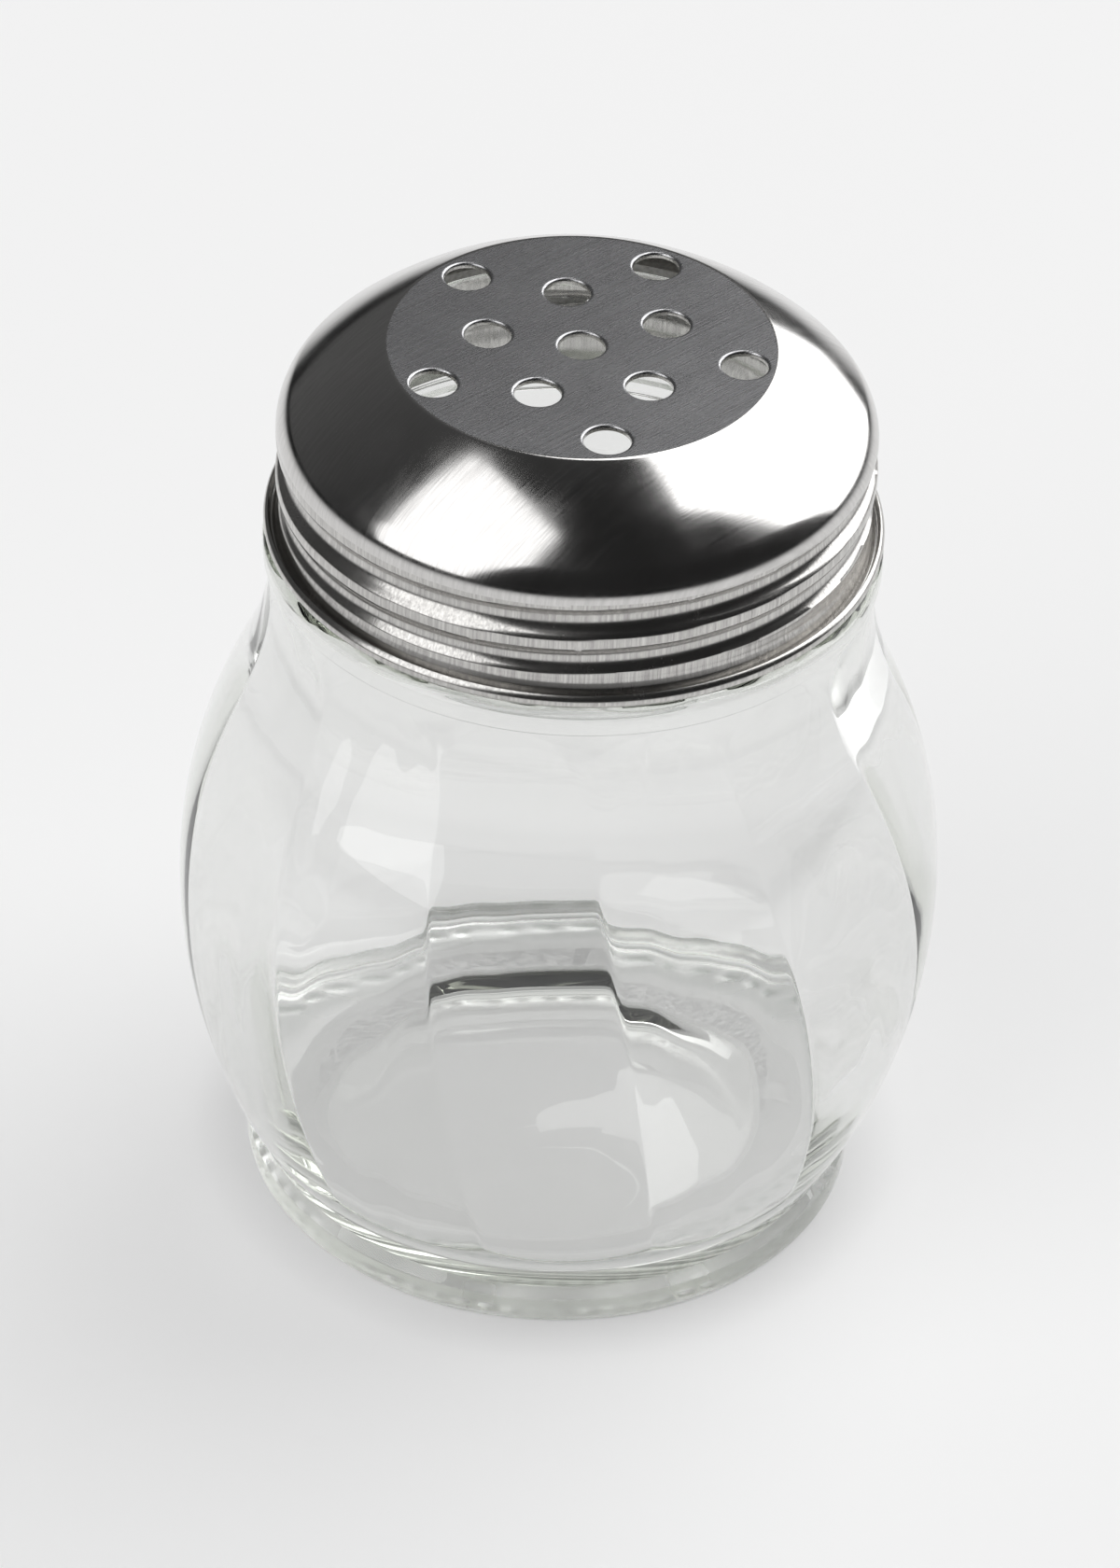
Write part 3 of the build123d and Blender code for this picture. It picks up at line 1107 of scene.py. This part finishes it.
@dataclass(frozen=True)
class Softbox:
    """Soft lamp that faces the object.

    Azimuth and elevation give where it stands, in degrees as seen from the object; width and height are its
    size, away its distance and aim the height it faces, in metres; level is the brightness of its face.
    """

    name: str
    azimuth: float
    elevation: float
    width: float
    height: float
    away: float
    level: float
    aim: float = 0.05

    def place(self) -> bpy.types.Object:
        """Adds the lamp.

        Returns:
            The lamp.
        """
        turn = Matrix.Rotation(math.radians(self.azimuth), 4, "Z")
        tip = Matrix.Rotation(math.radians(-self.elevation), 4, "Y")
        face = Matrix(((0, 0, 1), (1, 0, 0), (0, 1, 0))).to_4x4()
        data = bpy.data.lights.new(self.name, "AREA")
        data.shape = "RECTANGLE"
        data.size = self.width
        data.size_y = self.height
        data.energy = self.level * math.pi * self.width * self.height
        lamp = bpy.data.objects.new(self.name, data)
        bpy.context.scene.collection.objects.link(lamp)
        lamp.matrix_world = turn @ tip @ Matrix.Translation((self.away, 0, 0)) @ face
        lamp.location.z += self.aim
        lamp.visible_camera = False
        return lamp


@dataclass
class Studio:
    """Pale floor, soft lamps, a dim room and the camera.

    Light that passed the glass finds the floor darker by through_shade, a painted shade, and the room between
    through_low, near the horizon, and through_high. Light that passed the glass or was reflected finds the floor
    fading to unlit between the distances of floor_dim, a painted shade of the far floor. Other light finds the room
    between room_front and room_back. A span gives the parts of a unit direction between which the room changes.
    Places are in metres, and angles in degrees.
    """

    bounces: int = 20
    floor_size: float = 14.0
    floor_glow: float = 0.52
    floor_colour: float = 0.43
    floor_dim: Point = (0.28, 0.75)
    # contact_reach, contact_shade and contact_samples set the painted contact shadow around the foot.
    contact_reach: float = 0.007
    contact_shade: float = 0.45
    contact_samples: int = 8
    through_shade: float = 0.095
    room_front: float = 0.02
    room_back: float = 0.10
    through_low: float = 0.36
    through_high: float = 0.30
    room_span: Point = (-0.2, 0.8)
    through_span: Point = (0.1, 0.9)
    backdrop_level: float = 0.888
    camera_place: tuple[float, float, float] = (0.0, -0.5100, 0.4368)
    camera_pan: float = 0.021
    camera_tilt: float = 52.17
    camera_roll: float = 2.59
    camera_lens: float = 160.7
    sensor: float = 36.0
    softboxes: tuple[Softbox, ...] = (
        Softbox("right_bank", 40.0, 37.0, 2.88, 3.75, 2.4, 2.5),
        Softbox("front_left_bank", -144.0, 37.0, 1.84, 3.36, 2.4, 1.7),
    )

    def lay_floor(self) -> bpy.types.Object:
        """Adds the floor, which keeps the object's shadow and has a painted contact shadow where the foot meets it.

        Returns:
            The floor.
        """
        clear_selection()
        bpy.ops.mesh.primitive_plane_add(size=self.floor_size)
        floor = bpy.context.object
        floor.name = "studio_floor"
        material = bpy.data.materials.new("floor_paper")
        material.cycles.emission_sampling = "NONE"
        board = NodeBoard(material)
        spot = board.add("ShaderNodeTexCoord").outputs["Object"]
        away = board.add("ShaderNodeVectorMath", {0: spot}, operation="LENGTH").outputs["Value"]
        rays = board.add("ShaderNodeLightPath")
        # Painted contact shadow: ambient occlusion darkens the floor's glow near the jar, for camera rays only.
        sky = board.add(
            "ShaderNodeAmbientOcclusion",
            {"Distance": self.contact_reach},
            samples=self.contact_samples,
        )
        painted_contact_shadow = board.spread(sky.outputs["AO"], (0.0, self.contact_shade), (1.0, 0.0))
        shade = board.math("MULTIPLY", painted_contact_shadow, rays.outputs["Is Camera Ray"])
        strength = board.spread(shade, (0.0, self.floor_glow), (1.0, 0.0))
        glow = board.add("ShaderNodeEmission", {"Color": grey(1.0), "Strength": strength})
        paper = board.add("ShaderNodeBsdfDiffuse", {"Color": grey(self.floor_colour)})
        both = board.add("ShaderNodeAddShader", {0: glow.outputs["Emission"], 1: paper.outputs["BSDF"]})
        # Painted shade: the floor seen through glass is darkened by through_shade, and the floor seen in reflections
        # and through glass fades to unlit with distance.
        far = board.spread(away, (self.floor_dim[0], 0.0), (self.floor_dim[1], 1.0))
        shaded = board.math("MULTIPLY", rays.outputs["Is Transmission Ray"], self.through_shade)
        turned = board.math("ADD", rays.outputs["Is Reflection Ray"], rays.outputs["Is Transmission Ray"])
        dim = board.math("MAXIMUM", shaded, board.math("MULTIPLY", far, turned))
        unlit = board.add("ShaderNodeBsdfDiffuse", {"Color": grey(self.room_front)})
        seen = board.add("ShaderNodeMixShader", {0: dim, 1: both.outputs["Shader"], 2: unlit.outputs["BSDF"]})
        board.add("ShaderNodeOutputMaterial", {"Surface": seen.outputs["Shader"]})
        floor.data.materials.append(material)
        return floor

    def dim_room(self) -> None:
        """Makes the world a dim room that the camera sees as a pale backdrop."""
        world = bpy.data.worlds.new("studio_room")
        bpy.context.scene.world = world
        board = NodeBoard(world)
        rays = board.add("ShaderNodeLightPath")
        way = board.add("ShaderNodeTexCoord").outputs["Generated"]
        parts = board.add("ShaderNodeSeparateXYZ", {"Vector": way}).outputs
        sides = list(zip(self.room_span, (self.room_front, self.room_back)))
        level = board.spread(parts["Y"], sides[0], sides[1])
        rise = list(zip(self.through_span, (self.through_low, self.through_high)))
        through = board.spread(parts["Z"], rise[0], rise[1])
        share = {"Factor": rays.outputs["Is Transmission Ray"], "A": level, "B": through}
        level = board.add("ShaderNodeMix", share, data_type="FLOAT").outputs["Result"]
        room = board.add("ShaderNodeBackground", {"Color": grey(1.0), "Strength": level})
        backdrop = board.add("ShaderNodeBackground", {"Color": grey(1.0), "Strength": self.backdrop_level})
        seen = board.add(
            "ShaderNodeMixShader",
            {0: rays.outputs["Is Camera Ray"], 1: room.outputs["Background"], 2: backdrop.outputs["Background"]},
        )
        board.add("ShaderNodeOutputWorld", {"Surface": seen.outputs["Shader"]})

    def set_camera(self) -> bpy.types.Object:
        """Adds the camera at the photograph's viewing angle.

        Returns:
            The camera.
        """
        data = bpy.data.cameras.new("studio_camera")
        data.lens = self.camera_lens
        data.sensor_width = self.sensor
        camera = bpy.data.objects.new("studio_camera", data)
        bpy.context.scene.collection.objects.link(camera)
        pan = Matrix.Rotation(math.radians(self.camera_pan), 4, "Z")
        tilt = Matrix.Rotation(math.radians(self.camera_tilt), 4, "X")
        roll = Matrix.Rotation(math.radians(self.camera_roll), 4, "Z")
        camera.matrix_world = Matrix.Translation(self.camera_place) @ pan @ tilt @ roll
        bpy.context.scene.camera = camera
        return camera

    def build(self) -> None:
        """Sets up the floor, the room, the lamps and the camera, and lets light pass often enough through glass."""
        scene = bpy.context.scene
        scene.view_settings.view_transform = "Standard"
        scene.cycles.max_bounces = self.bounces
        scene.cycles.glossy_bounces = self.bounces
        scene.cycles.transmission_bounces = self.bounces
        self.lay_floor()
        self.dim_room()
        for softbox in self.softboxes:
            softbox.place()
        self.set_camera()


def main() -> None:
    """Builds the studio and the pieces in order and reports each piece."""
    logging.basicConfig(level=logging.INFO, format="%(name)s: %(message)s")
    Studio().build()
    thread = ScrewThread()
    for piece in (GlassJar(thread).build(), PerforatedLid(thread).build(), RimLiner().dress()):
        LOG.info("%s: %d faces", piece.name, len(piece.data.polygons))


if __name__ == "__main__":
    main()
